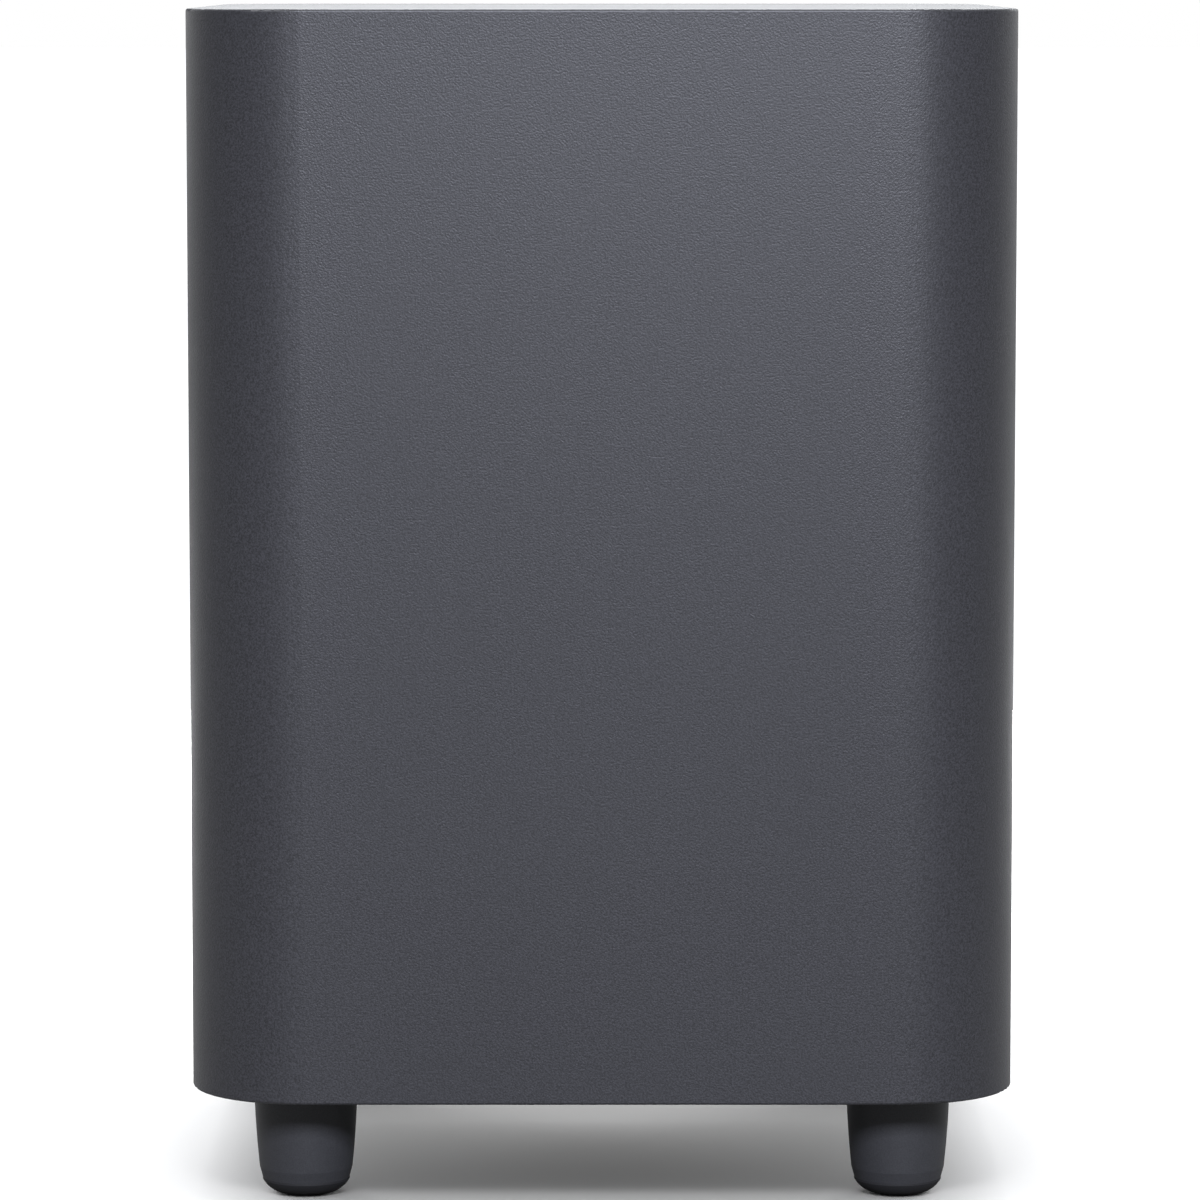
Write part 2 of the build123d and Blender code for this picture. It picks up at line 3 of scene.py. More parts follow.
import bpy
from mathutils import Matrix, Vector
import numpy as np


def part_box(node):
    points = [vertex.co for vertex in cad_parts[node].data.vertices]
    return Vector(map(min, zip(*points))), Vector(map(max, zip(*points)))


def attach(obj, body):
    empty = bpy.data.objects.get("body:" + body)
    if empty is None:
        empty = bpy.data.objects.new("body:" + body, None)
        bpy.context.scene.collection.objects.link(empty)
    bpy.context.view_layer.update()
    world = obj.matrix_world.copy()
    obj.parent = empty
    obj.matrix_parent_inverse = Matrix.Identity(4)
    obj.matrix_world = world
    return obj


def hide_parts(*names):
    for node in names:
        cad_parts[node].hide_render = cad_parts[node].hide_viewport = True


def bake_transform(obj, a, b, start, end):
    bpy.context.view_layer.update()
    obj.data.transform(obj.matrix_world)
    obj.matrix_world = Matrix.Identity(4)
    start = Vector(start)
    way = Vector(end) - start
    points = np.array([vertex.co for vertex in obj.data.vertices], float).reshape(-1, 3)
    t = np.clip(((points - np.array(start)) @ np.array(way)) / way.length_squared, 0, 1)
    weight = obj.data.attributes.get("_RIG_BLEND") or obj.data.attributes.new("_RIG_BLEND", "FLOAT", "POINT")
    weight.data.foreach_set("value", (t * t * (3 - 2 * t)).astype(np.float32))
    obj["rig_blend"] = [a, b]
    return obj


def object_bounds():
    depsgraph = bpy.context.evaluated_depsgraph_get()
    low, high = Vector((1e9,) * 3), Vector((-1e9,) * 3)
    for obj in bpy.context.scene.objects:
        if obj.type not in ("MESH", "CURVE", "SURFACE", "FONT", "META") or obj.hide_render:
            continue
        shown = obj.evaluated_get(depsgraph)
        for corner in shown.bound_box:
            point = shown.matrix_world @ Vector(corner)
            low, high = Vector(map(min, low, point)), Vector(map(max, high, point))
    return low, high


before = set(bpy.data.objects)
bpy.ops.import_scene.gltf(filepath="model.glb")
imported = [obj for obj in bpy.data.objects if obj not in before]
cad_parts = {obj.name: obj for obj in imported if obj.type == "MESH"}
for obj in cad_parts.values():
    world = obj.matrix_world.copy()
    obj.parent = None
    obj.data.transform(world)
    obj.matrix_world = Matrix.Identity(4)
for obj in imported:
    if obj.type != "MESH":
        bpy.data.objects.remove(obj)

cad_low, cad_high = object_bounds()
scene = bpy.context.scene

# Camera: a long lens a little above the cabinet's top, square to the plain front, so that the
# sides stay nearly upright and only a sliver of the top shows.
lens_mm = 177.8
sensor_mm = 36
camera_back = 2.1385
camera_above = 0.0162
camera_aside = -0.0007
camera_tilt = radians(6.127)
camera_data = bpy.data.cameras.new("camera")
camera_data.lens = lens_mm
camera_data.sensor_width = sensor_mm
camera = bpy.data.objects.new("camera", camera_data)
camera.location = (camera_aside, cad_low.y - camera_back, cad_high.z + camera_above)
camera.rotation_euler = (pi / 2 - camera_tilt, 0, 0)
scene.collection.objects.link(camera)
scene.camera = camera
scene.view_settings.view_transform = "Standard"

# Paper: a broad flat sheet of white paper under the object. It is white to the eye and returns a
# duller light to the object, so the film stays dark. From below it is clear, to show the driver.
paper_size = 60
paper_bounce = 0.36
bpy.ops.object.select_all(action="DESELECT")
bpy.ops.mesh.primitive_plane_add(size=paper_size, location=(0, 0, 0))
floor = bpy.context.object
floor.name = "studio_floor"
paper = bpy.data.materials.new("white_paper")
paper.use_nodes = True
paper_tree = paper.node_tree
paper_shader = paper_tree.nodes["Principled BSDF"]
paper_shader.inputs["Roughness"].default_value = 0.9
paper_shader.inputs["Specular IOR Level"].default_value = 0.1
lit_by = paper_tree.nodes.new("ShaderNodeLightPath")
bounce = paper_tree.nodes.new("ShaderNodeMapRange")
bounce.inputs["To Min"].default_value = paper_bounce
bounce.inputs["To Max"].default_value = 1.0
paper_tree.links.new(lit_by.outputs["Is Camera Ray"], bounce.inputs["Value"])
paper_tree.links.new(bounce.outputs["Result"], paper_shader.inputs["Base Color"])
facing = paper_tree.nodes.new("ShaderNodeNewGeometry")
open_air = paper_tree.nodes.new("ShaderNodeBsdfTransparent")
one_way = paper_tree.nodes.new("ShaderNodeMixShader")
paper_tree.links.new(facing.outputs["Backfacing"], one_way.inputs["Fac"])
paper_tree.links.new(paper_shader.outputs["BSDF"], one_way.inputs[1])
paper_tree.links.new(open_air.outputs["BSDF"], one_way.inputs[2])
paper_tree.links.new(one_way.outputs["Shader"], paper_tree.nodes["Material Output"].inputs["Surface"])
floor.data.materials.append(paper)

# Room: the backdrop is bright low down, the ceiling is a soft panel, and the sides and the front
# of the room stay dim, so that the rounded corners read darker than the flat front.
world = bpy.data.worlds.new("white_studio")
scene.world = world
world.use_nodes = True
sky = world.node_tree
room_light = sky.nodes["Background"]
room_light.inputs["Color"].default_value = (0.97, 0.98, 1, 1)
direction = sky.nodes.new("ShaderNodeTexCoord")
axes = sky.nodes.new("ShaderNodeSeparateXYZ")
sky.links.new(direction.outputs["Generated"], axes.inputs["Vector"])


def sky_ramp(axis, start, end, low, high):
    """Soft step of the room's brightness along one direction."""
    step = sky.nodes.new("ShaderNodeMapRange")
    step.interpolation_type = "SMOOTHSTEP"
    for label, value in (("From Min", start), ("From Max", end), ("To Min", low), ("To Max", high)):
        step.inputs[label].default_value = value
    sky.links.new(axes.outputs[axis], step.inputs["Value"])
    return step.outputs["Result"]


def arithmetic(tree, operation, first, second):
    """Math node on two values, each of them a number or another node's output."""
    step = tree.nodes.new("ShaderNodeMath")
    step.operation = operation
    for socket, value in zip(step.inputs, (first, second)):
        if isinstance(value, float):
            socket.default_value = value
        else:
            tree.links.new(value, socket)
    return step.outputs["Value"]


backdrop = sky_ramp("Y", 0.15, 0.8, 0.0, 1.2)
near_floor = sky_ramp("Z", 0.1, 0.6, 1.0, 0.15)
ceiling = sky_ramp("Z", 0.25, 0.85, 0.0, 1.5)
room = sky_ramp("Y", -0.9, 0.1, 0.08, 0.12)
low_glow = arithmetic(sky, "MULTIPLY", backdrop, near_floor)
glow = arithmetic(sky, "ADD", low_glow, arithmetic(sky, "ADD", ceiling, room))
sky.links.new(glow, room_light.inputs["Strength"])
seen_white = sky.nodes.new("ShaderNodeBackground")
seen_white.inputs["Color"].default_value = (1, 1, 1, 1)
ray = sky.nodes.new("ShaderNodeLightPath")
choice = sky.nodes.new("ShaderNodeMixShader")
sky.links.new(ray.outputs["Is Camera Ray"], choice.inputs["Fac"])
sky.links.new(room_light.outputs["Background"], choice.inputs[1])
sky.links.new(seen_white.outputs["Background"], choice.inputs[2])
sky.links.new(choice.outputs["Shader"], sky.nodes["World Output"].inputs["Surface"])

# Lamps: a front and a rear softbox light the object and are flagged off the paper, and two more
# light only the paper, from the front and low from behind, so that its shadows stay soft.
middle = (0, 0, cad_high.z * 0.6)
under_rear = (0, 0, 0.03)
before_front = (0, -0.2, 0)
lamps = (
    ("front_softbox", (0.27, -2.5, 1.45), middle, (0.6, 0.5), 124, (0.85, 0.88, 1.0), "EXCLUDE"),
    ("rear_softbox", (0, 2.2, 2.1), middle, (1.6, 0.8), 55, (0.95, 0.97, 1.0), "EXCLUDE"),
    ("front_floor_box", (0, -1.9, 1.75), before_front, (0.6, 0.4), 10, (1, 1, 1), "INCLUDE"),
    ("back_strip", (0, 1.3, 0.2), under_rear, (2.6, 0.4), 63, (1, 1, 1), "INCLUDE"),
)
for lamp_name, place, target, (width, height), watts, colour, paper_link in lamps:
    lamp_data = bpy.data.lights.new(lamp_name, "AREA")
    lamp_data.shape = "RECTANGLE"
    lamp_data.size = width
    lamp_data.size_y = height
    lamp_data.energy = watts
    lamp_data.color = colour
    lamp = bpy.data.objects.new(lamp_name, lamp_data)
    lamp.location = place
    lamp.rotation_euler = (Vector(target) - Vector(place)).to_track_quat("-Z", "Y").to_euler()
    scene.collection.objects.link(lamp)
    linked = bpy.data.collections.new(lamp_name + "_floor")
    linked.objects.link(floor)
    linked.collection_objects[0].light_linking.link_state = paper_link
    lamp.light_linking.receiver_collection = linked
    lamp.visible_camera = False
    lamp.visible_glossy = paper_link == "EXCLUDE"


# Cabinet wrap and top: fibreboard with rounded corners, covered all over in a dark grey satin
# film with a fine metallic grain. The film runs over the edges, so no joint shows.
def shader_group(name, inputs, outputs):
    """Empty node group with these number inputs and these outputs, and its two end nodes."""
    group = bpy.data.node_groups.new(name, "ShaderNodeTree")
    for label in inputs:
        group.interface.new_socket(label, in_out="INPUT", socket_type="NodeSocketFloat")
    for label, kind in outputs:
        group.interface.new_socket(label, in_out="OUTPUT", socket_type=kind)
    return group, group.nodes.new("NodeGroupInput"), group.nodes.new("NodeGroupOutput")


def texture_group(name, texture, settings, pitch=1.0, result="Fac", turn=(0, 0, 0)):
    """Node group with one texture at a given size: its own value, and the relief that it presses."""
    outputs = (("Fleck", "NodeSocketFloat"), ("Normal", "NodeSocketVector"))
    group, group_in, group_out = shader_group(name, ("Grain Size", "Depth"), outputs)
    place = group.nodes.new("ShaderNodeTexCoord")
    turned = group.nodes.new("ShaderNodeMapping")
    turned.inputs["Rotation"].default_value = turn
    group.links.new(place.outputs["Object"], turned.inputs["Vector"])
    pattern = group.nodes.new(texture)
    for label, value in settings.items():
        if label in pattern.inputs:
            pattern.inputs[label].default_value = value
        else:
            setattr(pattern, label, value)
    group.links.new(turned.outputs["Vector"], pattern.inputs["Vector"])
    scale = arithmetic(group, "DIVIDE", pitch, group_in.outputs["Grain Size"])
    group.links.new(scale, pattern.inputs["Scale"])
    relief = group.nodes.new("ShaderNodeBump")
    relief.inputs["Strength"].default_value = 1.0
    group.links.new(group_in.outputs["Depth"], relief.inputs["Distance"])
    group.links.new(pattern.outputs[result], relief.inputs["Height"])
    group.links.new(pattern.outputs[result], group_out.inputs["Fleck"])
    group.links.new(relief.outputs["Normal"], group_out.inputs["Normal"])
    return group


film_grain = texture_group("film_grain", "ShaderNodeTexNoise", {"Detail": 2.0, "Roughness": 0.6})

smudge, smudge_in, smudge_out = shader_group("soft_smudge", ("Patch Size", "Low", "High"),
                                             (("Value", "NodeSocketFloat"),))
smudge_place = smudge.nodes.new("ShaderNodeTexCoord")
patches = smudge.nodes.new("ShaderNodeTexNoise")
patches.inputs["Detail"].default_value = 3.0
smudge.links.new(smudge_place.outputs["Object"], patches.inputs["Vector"])
smudge.links.new(arithmetic(smudge, "DIVIDE", 1.0, smudge_in.outputs["Patch Size"]), patches.inputs["Scale"])
spread = smudge.nodes.new("ShaderNodeMapRange")
spread.inputs["From Min"].default_value = 0.3
spread.inputs["From Max"].default_value = 0.7
smudge.links.new(patches.outputs["Fac"], spread.inputs["Value"])
smudge.links.new(smudge_in.outputs["Low"], spread.inputs["To Min"])
smudge.links.new(smudge_in.outputs["High"], spread.inputs["To Max"])
smudge.links.new(spread.outputs["Result"], smudge_out.inputs["Value"])


def place_group(tree, group, **values):
    """Put a node group in a material, with the material's own values."""
    node = tree.nodes.new("ShaderNodeGroup")
    node.node_tree = group
    for label, value in values.items():
        node.inputs[label.replace("_", " ").title()].default_value = value
    return node


def surface(name, dark, light, roughness, grain, depth, patch=0.09, metallic=0.0, specular=0.5,
            pattern=film_grain, band=(0.35, 0.65)):
    """Opaque finish whose colour follows its own fine pattern and whose gloss drifts in soft patches."""
    finish = bpy.data.materials.new(name)
    finish.use_nodes = True
    tree = finish.node_tree
    shader = tree.nodes["Principled BSDF"]
    shader.inputs["Metallic"].default_value = metallic
    shader.inputs["Specular IOR Level"].default_value = specular
    fine = place_group(tree, pattern, grain_size=grain, depth=depth)
    gloss = place_group(tree, smudge, patch_size=patch, low=roughness[0], high=roughness[1])
    tint = tree.nodes.new("ShaderNodeValToRGB")
    for stop, position, colour in zip(tint.color_ramp.elements, band, (dark, light)):
        stop.position = position
        stop.color = (*colour, 1)
    tree.links.new(fine.outputs["Fleck"], tint.inputs["Fac"])
    tree.links.new(tint.outputs["Color"], shader.inputs["Base Color"])
    tree.links.new(gloss.outputs["Value"], shader.inputs["Roughness"])
    tree.links.new(fine.outputs["Normal"], shader.inputs["Normal"])
    return finish


def coat(finish, *names):
    """Put one finish on CAD nodes, which keep their own meshes."""
    for name in names:
        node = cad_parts[name]
        node.data.materials.clear()
        node.data.materials.append(finish)


film = surface("satin_grey_film", (0.0132, 0.0132, 0.0150), (0.0300, 0.0300, 0.0342),
               roughness=(0.41, 0.43), grain=0.0007, depth=0.00013, specular=0.4)
coat(film, "cabinet_shell", "top_panel")

# Feet: short tapered plugs moulded in dark grey plastic, each with a softer rubber sole below a
# fine seam. One screw goes up through each into a tee nut, behind the sole.
foot_plastic = surface("foot_plastic", (0.0225, 0.023, 0.0255), (0.032, 0.0325, 0.036),
                       roughness=(0.46, 0.52), grain=0.0005, depth=0.00001, specular=0.35)
sole_rubber = surface("sole_rubber", (0.008, 0.008, 0.009), (0.014, 0.014, 0.016),
                      roughness=(0.66, 0.78), grain=0.0004, depth=0.00002, specular=0.35)
zinc_plate = surface("zinc_plate", (0.44, 0.45, 0.47), (0.60, 0.60, 0.59),
                     roughness=(0.24, 0.42), grain=0.0011, depth=0.000004, patch=0.004, metallic=1.0)
for corner in ("front_left", "front_right", "rear_left", "rear_right"):
    coat(foot_plastic, "foot_" + corner)
    coat(sole_rubber, "sole_" + corner)
coat(zinc_plate, "foot_screws", "foot_tee_nuts")

# Baffle: the thick fibreboard floor of the cabinet, set up inside the wrap and painted matt black
# with a roller, which leaves a fine stipple. The driver and the feet screw to it.
stipple = texture_group("roller_stipple", "ShaderNodeTexVoronoi", {"feature": "SMOOTH_F1", "Smoothness": 0.8},
                        result="Distance")
baffle_paint = surface("baffle_paint", (0.011, 0.011, 0.012), (0.019, 0.019, 0.020),
                       roughness=(0.62, 0.74), grain=0.0012, depth=0.00012, specular=0.35,
                       pattern=stipple, band=(0.1, 0.8))
coat(baffle_paint, "bottom_baffle")

# Brace and glue blocks: raw medium-density fibreboard, sanded on the faces and glued in. Fine
# fibres of two browns cross at random.
board_fibre = texture_group("board_fibre", "ShaderNodeTexNoise",
                            {"Detail": 6.0, "Roughness": 0.7, "Distortion": 1.5})
raw_board = surface("raw_fibreboard", (0.26, 0.17, 0.10), (0.44, 0.31, 0.19),
                    roughness=(0.78, 0.9), grain=0.0014, depth=0.00008, specular=0.2,
                    pattern=board_fibre, band=(0.3, 0.7))
coat(raw_board, "window_brace", "glue_blocks")

# Port: a tube flared at its inner end and glued into a flared flange, both moulded in black
# plastic with a fine spark-eroded texture. The flange is let into the rear wall on a foam seal.
port_plastic = surface("port_plastic", (0.010, 0.010, 0.011), (0.017, 0.017, 0.018),
                       roughness=(0.48, 0.56), grain=0.0006, depth=0.00004, specular=0.4)
foam_cells = texture_group("foam_cells", "ShaderNodeTexVoronoi", {"feature": "F1"}, result="Distance")
gasket_foam = surface("gasket_foam", (0.008, 0.008, 0.008), (0.022, 0.022, 0.022),
                      roughness=(0.86, 0.95), grain=0.0007, depth=0.00025, specular=0.2,
                      pattern=foam_cells, band=(0.1, 0.7))
coat(port_plastic, "port_tube", "port_flare")
coat(gasket_foam, "port_gasket", "driver_gasket", "surround_trim_ring", "amp_gasket")

# Wadding: two soft pads of white polyester fibre, stapled to the front wall and under the top.
# Each is lofted and lumpy, with corners that sink in.
fibre_loft = texture_group("fibre_loft", "ShaderNodeTexNoise",
                           {"Detail": 8.0, "Roughness": 0.75, "Distortion": 4.0})
polyester = surface("polyester_fibre", (0.62, 0.62, 0.60), (0.90, 0.90, 0.88),
                    roughness=(0.9, 1.0), grain=0.006, depth=0.0008, specular=0.1,
                    pattern=fibre_loft, band=(0.25, 0.6))
pad_shrink = 0.0025
pad_voxel = 0.006
lump_size = 0.045
lump_height = 0.007
lump_rest = 0.6
lumps = bpy.data.textures.new("wadding_lumps", "CLOUDS")
lumps.noise_scale = lump_size


def active(piece):
    """Make one piece the only one selected, and the active one."""
    bpy.ops.object.select_all(action="DESELECT")
    piece.select_set(True)
    bpy.context.view_layer.objects.active = piece


def apply_modifier(piece, kind, **settings):
    """Add a modifier with these settings and apply it to the mesh."""
    modifier = piece.modifiers.new(kind.lower(), kind)
    for label, value in settings.items():
        setattr(modifier, label, value)
    active(piece)
    bpy.ops.object.modifier_apply(modifier=modifier.name)


for pad_name in ("wadding_front", "wadding_top"):
    pad_low, pad_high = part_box(pad_name)
    bpy.ops.object.select_all(action="DESELECT")
    bpy.ops.mesh.primitive_cube_add(size=1, location=(pad_low + pad_high) / 2)
    pad = bpy.context.object
    pad.name = pad_name.replace("wadding", "fibre_pad")
    pad.scale = [side - 2 * pad_shrink for side in pad_high - pad_low]
    bpy.ops.object.transform_apply(location=True, rotation=True, scale=True)
    apply_modifier(pad, "REMESH", mode="VOXEL", voxel_size=pad_voxel)
    apply_modifier(pad, "SMOOTH", factor=0.5, iterations=8)
    apply_modifier(pad, "DISPLACE", texture=lumps, strength=lump_height, mid_level=lump_rest,
                   texture_coords="LOCAL")
    apply_modifier(pad, "SUBSURF", levels=1, render_levels=1)
    bpy.ops.object.shade_smooth()
    pad.data.materials.clear()
    pad.data.materials.append(polyester)
    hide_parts(pad_name)
    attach(pad, "root")

# Basket: die-cast aluminium with a black powder coat, screwed up against the baffle through a foam
# gasket by eight black pan-head screws.
powder_coat = surface("black_powder_coat", (0.011, 0.011, 0.012), (0.020, 0.020, 0.021),
                      roughness=(0.42, 0.52), grain=0.0009, depth=0.00006, specular=0.45,
                      pattern=stipple, band=(0.1, 0.8))
black_oxide = surface("black_oxide_steel", (0.020, 0.020, 0.022), (0.045, 0.045, 0.048),
                      roughness=(0.30, 0.42), grain=0.0004, depth=0.00001, patch=0.003, metallic=0.7)
coat(powder_coat, "driver_basket")
coat(black_oxide, "driver_screws", "amp_screws")

# Surround: one moulded rubber half roll, glued between the basket's flange and the cone's lip. It
# stays on the flange at its rim and goes with the cone at its lip.
moulded_rubber = surface("moulded_rubber", (0.007, 0.007, 0.0075), (0.011, 0.011, 0.0115),
                         roughness=(0.46, 0.60), grain=0.0005, depth=0.000012, specular=0.4)
turn_segments = 144
smooth_below = radians(50)
rubber_sheet = 0.0012
roll_centre = 0.104
roll_radius = 0.0078
roll_steps = 26
roll_foot_turn = radians(18)
roll_foot_bend = 0.0016
lip_radius = 0.089


def turn_skin(name, stations, thickness, finish, pole=False):
    """Turned skin about Z: the circle at the first (radius, height) is pulled out ring by ring."""
    bpy.ops.object.select_all(action="DESELECT")
    radius, height = stations[0]
    bpy.ops.mesh.primitive_circle_add(vertices=turn_segments, radius=radius, location=(0, 0, height))
    skin = bpy.context.object
    skin.name = name
    bpy.ops.object.transform_apply(location=True)
    bpy.ops.object.mode_set(mode="EDIT")
    bpy.ops.mesh.select_all(action="SELECT")
    for next_radius, next_height in stations[1:]:
        rise = (0, 0, next_height - height)
        bpy.ops.mesh.extrude_region_move(TRANSFORM_OT_translate={"value": rise})
        growth = next_radius / radius
        bpy.ops.transform.resize(value=(growth, growth, 1), center_override=(0, 0, next_height))
        radius, height = next_radius, next_height
    if pole:
        bpy.ops.mesh.merge(type="CENTER")
    bpy.ops.mesh.select_all(action="SELECT")
    bpy.ops.mesh.normals_make_consistent(inside=False)
    bpy.ops.object.mode_set(mode="OBJECT")
    apply_modifier(skin, "SOLIDIFY", thickness=thickness, offset=0, use_even_offset=True)
    bpy.ops.object.shade_smooth_by_angle(angle=smooth_below)
    skin.data.materials.clear()
    skin.data.materials.append(finish)
    return skin


def blend_outwards(piece, inner, outer):
    """Make a round piece go with the cone inside one radius and stay with the frame beyond another."""
    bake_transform(piece, "root", "cone_assembly", start=(outer, 0, 0), end=(inner, 0, 0))
    weights = piece.data.attributes["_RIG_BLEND"].data
    for point, weight in zip(piece.data.vertices, weights):
        share = (outer - point.co.xy.length) / (outer - inner)
        share = min(1.0, max(0.0, share))
        weight.value = share * share * (3 - 2 * share)


surround_low, surround_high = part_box("surround")
rubber_plane = surround_high.z - rubber_sheet / 2
roll_stations = [(surround_high.x, rubber_plane), (roll_centre + roll_radius + roll_foot_bend, rubber_plane)]
for step in range(roll_steps + 1):
    angle = roll_foot_turn + (pi - 2 * roll_foot_turn) * step / roll_steps
    roll_stations.append((roll_centre + roll_radius * cos(angle), rubber_plane - roll_radius * sin(angle)))
roll_stations += [(roll_centre - roll_radius - roll_foot_bend, rubber_plane), (lip_radius, rubber_plane)]
rubber_roll = turn_skin("rubber_roll", roll_stations, rubber_sheet, moulded_rubber)
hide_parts("surround")
blend_outwards(rubber_roll, roll_centre - roll_radius, roll_centre + roll_radius)

# Cone: pressed paper pulp dyed black, drawn up to the coil, with five shallow stiffening rings
# that fade towards its neck. Its lip is flat, where the surround is glued.
pulp = texture_group("paper_pulp", "ShaderNodeTexNoise",
                     {"Detail": 7.0, "Roughness": 0.75, "Distortion": 2.5})
cone_paper = surface("cone_pulp", (0.012, 0.012, 0.013), (0.027, 0.027, 0.029),
                     roughness=(0.68, 0.82), grain=0.0035, depth=0.00012, specular=0.3,
                     pattern=pulp, band=(0.3, 0.7))
cone_low, cone_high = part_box("cone")
cone_sheet = 0.0012
lip_bend = 0.001
coil_radius = 0.0254
lip_plane = cone_low.z + cone_sheet / 2
neck_plane = cone_high.z - cone_sheet / 2
ring_count = 5
ring_height = 0.00035
ring_fade = 0.4
cone_steps = 60
cone_slope = (neck_plane - lip_plane) / (lip_radius - coil_radius)
cone_stations = [(cone_high.x, lip_plane), (lip_radius + lip_bend, lip_plane)]
for step in range(1, cone_steps + 1):
    share = step / cone_steps
    ripple = ring_height * max(0, sin(2 * pi * ring_count * share)) * (1 - share * ring_fade)
    reach = lip_radius - share * (lip_radius - coil_radius)
    cone_stations.append((reach, lip_plane + (lip_radius - reach) * cone_slope - ripple))
pulp_cone = turn_skin("pulp_cone", cone_stations, cone_sheet, cone_paper)
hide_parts("cone")
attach(pulp_cone, "cone_assembly")

# Cap: a shallow dome of finer pulp with a denser surface, over the coil, which keeps dust out of
# the gap. It is glued down all round its edge.
cap_paper = surface("cap_pulp", (0.011, 0.011, 0.012), (0.019, 0.019, 0.020),
                    roughness=(0.50, 0.60), grain=0.003, depth=0.00006, specular=0.4,
                    pattern=pulp, band=(0.3, 0.7))
cap_low, cap_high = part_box("dust_cap")
cap_sheet = 0.0008
cap_edge = cap_high.x
cap_fit = 0.999
crown = cap_high.z - cap_low.z - cap_sheet / 2
dome_radius = (cap_edge**2 + crown**2) / (2 * crown)
cap_steps = 22
cap_stations = []
for step in range(cap_steps):
    reach = cap_edge * (1 - step / cap_steps) * cap_fit
    drop = (dome_radius**2 - reach**2) ** 0.5 - (dome_radius - crown)
    cap_stations.append((reach, cap_high.z - cap_sheet / 2 - drop))
pulp_cap = turn_skin("pulp_cap", cap_stations, cap_sheet, cap_paper, pole=True)
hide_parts("dust_cap")
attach(pulp_cap, "cone_assembly")

# Glue: two beads of black adhesive laid by hand, one round the cap's edge and one at the
# surround's lip. They set glossy, a little flat and a little uneven.
cured_glue = surface("cured_glue", (0.005, 0.005, 0.005), (0.009, 0.009, 0.009),
                     roughness=(0.14, 0.24), grain=0.004, depth=0.00005, specular=0.5)
bead_flatness = 0.7
bead_unevenness = 0.25
bead_segments = 12


def lay_bead(name, radius, height, width, seed):
    """Ring of glue: a thin torus, flattened, and roughened a little along its length."""
    bpy.ops.object.select_all(action="DESELECT")
    bpy.ops.mesh.primitive_torus_add(major_radius=radius, minor_radius=width / 2, location=(0, 0, height),
                                     major_segments=turn_segments, minor_segments=bead_segments)
    bead = bpy.context.object
    bead.name = name
    bead.scale = (1, 1, bead_flatness)
    bpy.ops.object.transform_apply(location=True, scale=True)
    bpy.ops.object.mode_set(mode="EDIT")
    bpy.ops.mesh.select_all(action="SELECT")
    bpy.ops.transform.vertex_random(offset=width * bead_unevenness, seed=seed)
    bpy.ops.mesh.vertices_smooth(factor=0.5, repeat=6)
    bpy.ops.object.mode_set(mode="OBJECT")
    bpy.ops.object.shade_smooth()
    bead.data.materials.append(cured_glue)
    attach(bead, "cone_assembly")


lay_bead("cap_glue", cap_edge + 0.0004, cap_high.z - 0.0003, width=0.0020, seed=3)
lay_bead("lip_glue", lip_radius - 0.0003, surround_high.z - rubber_sheet * 0.3, width=0.0018, seed=5)

# Motor and voice coil: an aluminium foil former wound with enamelled copper in two layers, in the
# gap of a ferrite ring magnet between turned, zinc-plated steel plates.
wave_pitch = 0.314
wire_lines = texture_group("wire_lines", "ShaderNodeTexWave", {"wave_type": "BANDS", "bands_direction": "Z"},
                           pitch=wave_pitch)
turned_lines = texture_group("turned_lines", "ShaderNodeTexWave",
                             {"wave_type": "RINGS", "rings_direction": "Z", "Distortion": 0.4},
                             pitch=wave_pitch)
former_foil = surface("former_foil", (0.60, 0.60, 0.61), (0.72, 0.72, 0.73),
                      roughness=(0.22, 0.34), grain=0.002, depth=0.00001, patch=0.01, metallic=1.0)
copper_wire = surface("enamelled_copper", (0.42, 0.15, 0.06), (0.80, 0.38, 0.17),
                      roughness=(0.22, 0.30), grain=0.0004, depth=0.00008, metallic=1.0, pattern=wire_lines)
turned_steel = surface("turned_zinc_steel", (0.36, 0.37, 0.39), (0.52, 0.53, 0.54),
                       roughness=(0.26, 0.38), grain=0.0009, depth=0.00003, metallic=1.0,
                       pattern=turned_lines)
ground_ferrite = surface("ground_ferrite", (0.030, 0.030, 0.032), (0.060, 0.060, 0.062),
                         roughness=(0.42, 0.60), grain=0.0008, depth=0.00003)
coat(former_foil, "voice_coil_former")
coat(copper_wire, "voice_coil")
coat(turned_steel, "magnet_top_plate", "pole_yoke")
coat(ground_ferrite, "ferrite_magnet")

# Spider: cotton cloth pressed into nine waves and stiffened with amber resin. It centres the coil
# and flexes from its rim, glued to the basket, to the former.
weave = texture_group("plain_weave", "ShaderNodeTexWave",
                      {"wave_type": "BANDS", "bands_direction": "DIAGONAL"}, pitch=wave_pitch)
resin_cotton = surface("resin_cotton", (0.36, 0.22, 0.07), (0.60, 0.42, 0.18),
                       roughness=(0.58, 0.72), grain=0.0008, depth=0.00012, pattern=weave, band=(0.2, 0.8))
spider_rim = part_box("spider")[1].x
spider_sheet = 0.0006
spider_edge = 0.0614
spider_plane = 0.0917
waves = 9
wave_height = 0.0017
wave_steps = 6
step_width = (spider_edge - coil_radius) / (waves * wave_steps)
spider_stations = [(spider_rim, spider_plane)]
for step in range(waves * wave_steps + 1):
    swing = wave_height * sin(pi * step / wave_steps)
    spider_stations.append((spider_edge - step * step_width, spider_plane - swing))
cloth_spider = turn_skin("cloth_spider", spider_stations, spider_sheet, resin_cotton)
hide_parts("spider")
blend_outwards(cloth_spider, coil_radius, spider_edge)

